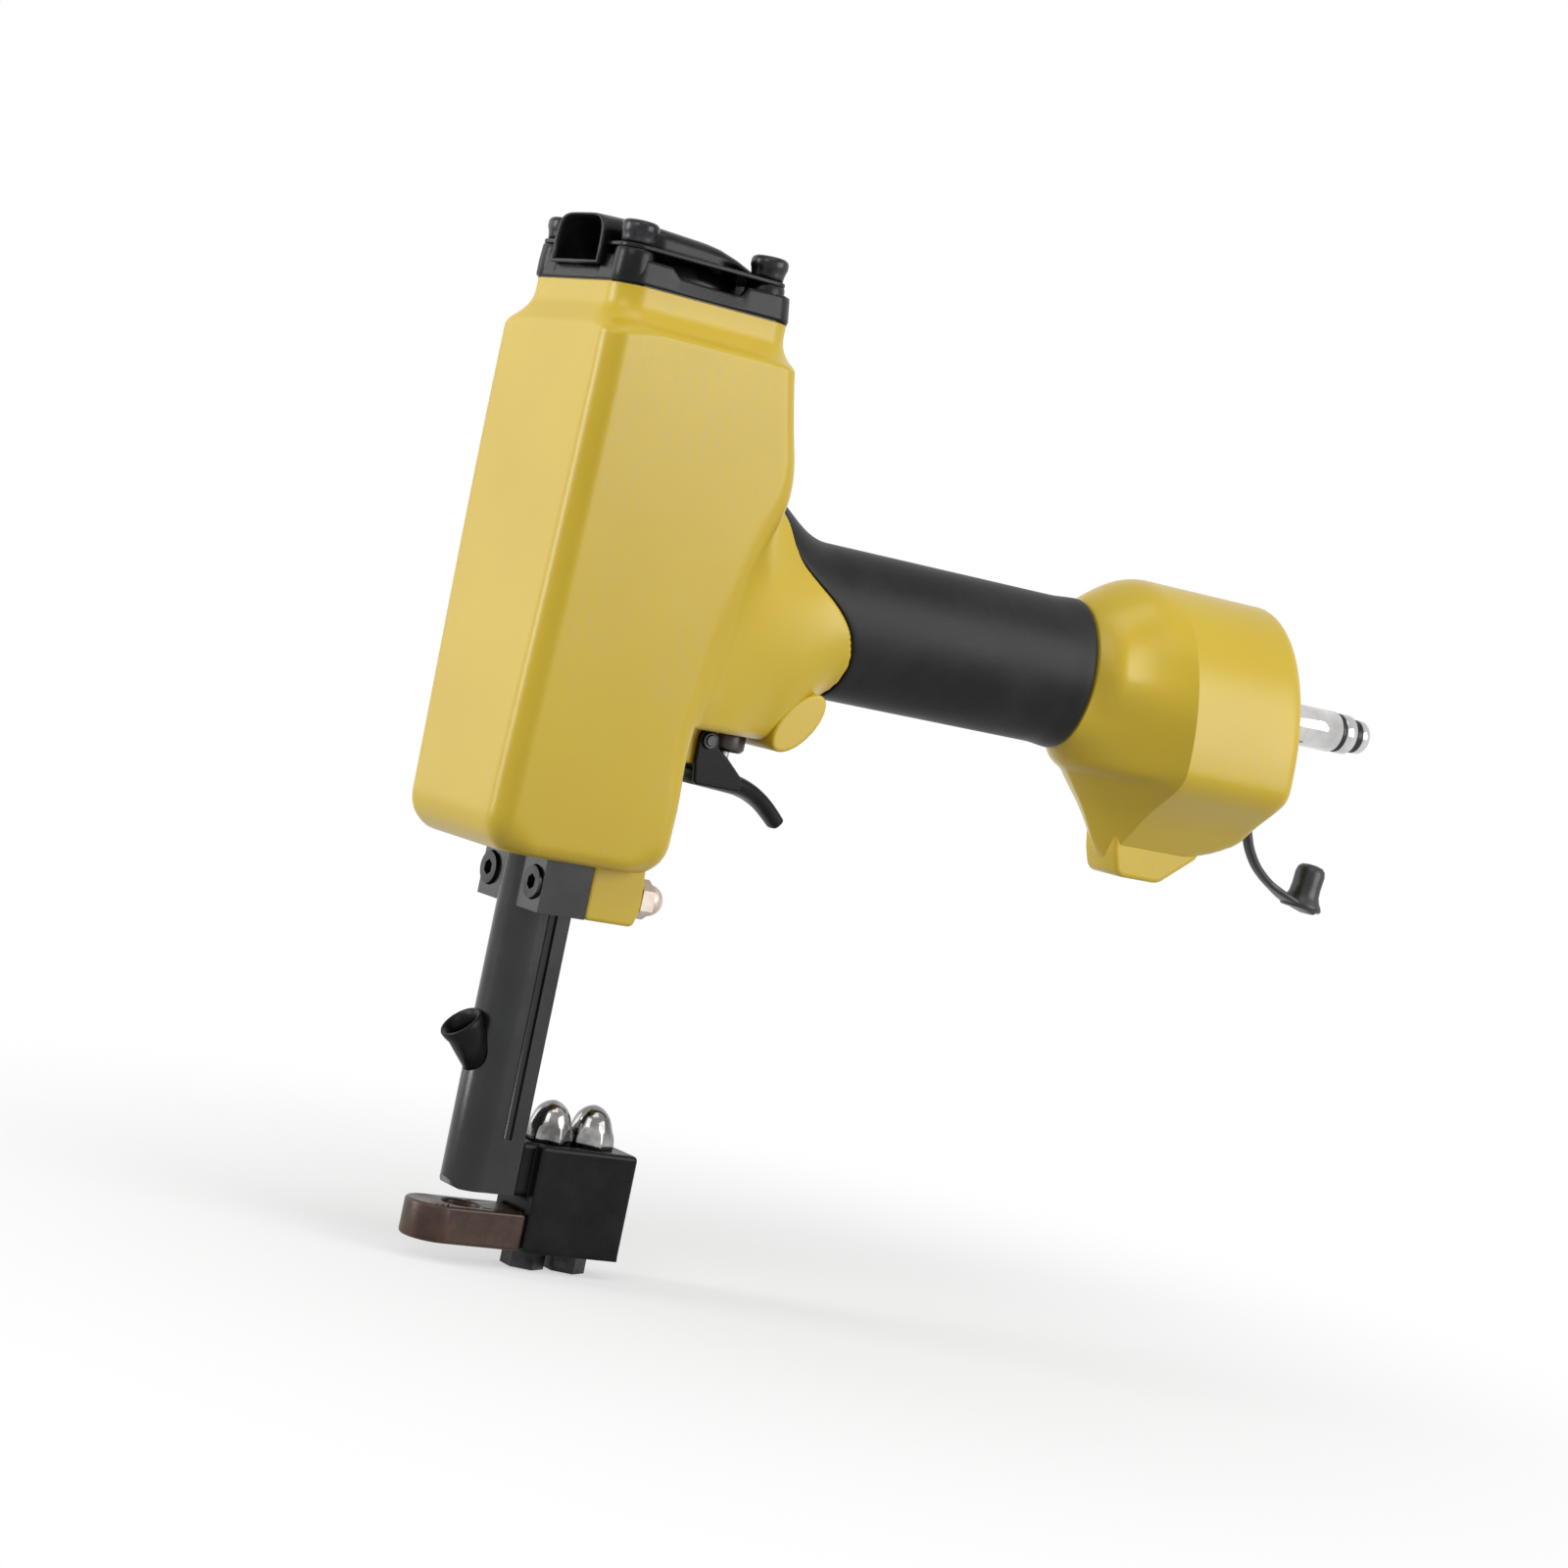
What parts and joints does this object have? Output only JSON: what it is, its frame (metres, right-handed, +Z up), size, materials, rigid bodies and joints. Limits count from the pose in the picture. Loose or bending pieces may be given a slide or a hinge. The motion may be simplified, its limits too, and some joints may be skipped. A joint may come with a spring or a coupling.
{
  "type": "pneumatic nailer",
  "caption": "Hand-held pneumatic nailer: tall housing, long nose bar over a C-shaped foot plate, rubber grip, rear air tank, trigger and a driven piston.",
  "frame": {"origin": "centre of the driver bore's mouth at the tip of the nose", "axes": "+Z up the driver line, +X back along the handle towards the air plug, Y across the tool"},
  "size_m": [0.3255, 0.066, 0.2949],
  "materials": {
    "yellow_paint": "satin",
    "black_casting": "satin",
    "gunmetal": "satin",
    "bright_plate": "polished",
    "tool_steel": "satin",
    "spring_steel": "satin",
    "aluminium_part": "machined",
    "bronze_steel": "satin",
    "grip_rubber": "matte",
    "black_rubber": "matte",
    "brown_plastic": "matte",
    "brass_mesh": "satin",
    "copper_washer": "satin"
  },
  "bodies": {
    "tool": {"housing": "yellow_paint", "cylinder_cap": "black_casting", "exhaust_deflector": "black_casting", "cap_screws": "gunmetal", "cap_gasket": "black_rubber", "head_valve_spring": "spring_steel", "cylinder_sleeve": "aluminium_part", "sleeve_orings": "black_rubber", "bumper": "black_rubber", "nose_guide": "black_casting", "nose_screws": "gunmetal", "nose_nuts": "bright_plate", "feed_spout": "gunmetal", "foot_block": "black_casting", "foot_plate": "bronze_steel", "foot_bolts": "gunmetal", "foot_nuts": "bright_plate", "grip_sleeve": "grip_rubber", "trigger_pin": "tool_steel", "trigger_pin_clips": "spring_steel", "valve_body": "brown_plastic", "valve_body_orings": "black_rubber", "valve_spring": "spring_steel", "rear_cover": "yellow_paint", "cover_gasket": "black_rubber", "cover_screws": "gunmetal", "inlet_screen": "brass_mesh", "air_plug": "bright_plate", "plug_washer": "copper_washer", "dust_cap": "black_rubber"},
    "head_valve": {"head_valve": "aluminium_part", "head_valve_seal": "black_rubber", "head_valve_oring": "black_rubber"},
    "piston": {"piston": "aluminium_part", "piston_ring": "black_rubber", "driver_rod": "tool_steel", "driver_nut": "tool_steel"},
    "trigger": {"trigger": "black_casting"},
    "valve_stem": {"valve_stem": "tool_steel", "valve_stem_oring": "black_rubber"}
  },
  "joints": [
    {"name": "trigger_pull", "type": "hinge", "parent": "tool", "child": "trigger", "pos_m": [0.0455, 0, 0.1375], "axis": [0, -1, 0], "range_deg": [0, 16], "stiffness_Nm_per_rad": 0.3},
    {"name": "valve_lift", "type": "slide", "parent": "tool", "child": "valve_stem", "axis": [0, 0, 1], "range_m": [0, 0.0033], "deforming": ["valve_spring"]},
    {"name": "piston_stroke", "type": "slide", "parent": "tool", "child": "piston", "axis": [0, 0, -1], "range_m": [0, 0.094]},
    {"name": "head_valve_lift", "type": "slide", "parent": "tool", "child": "head_valve", "axis": [0, 0, 1], "range_m": [0, 0.0045], "stiffness_N_per_m": 2000, "deforming": ["head_valve_spring"]}
  ],
  "couplings": [
    {"joint": "valve_lift", "follows": "trigger_pull", "m_per_rad": 0.0118}
  ]
}
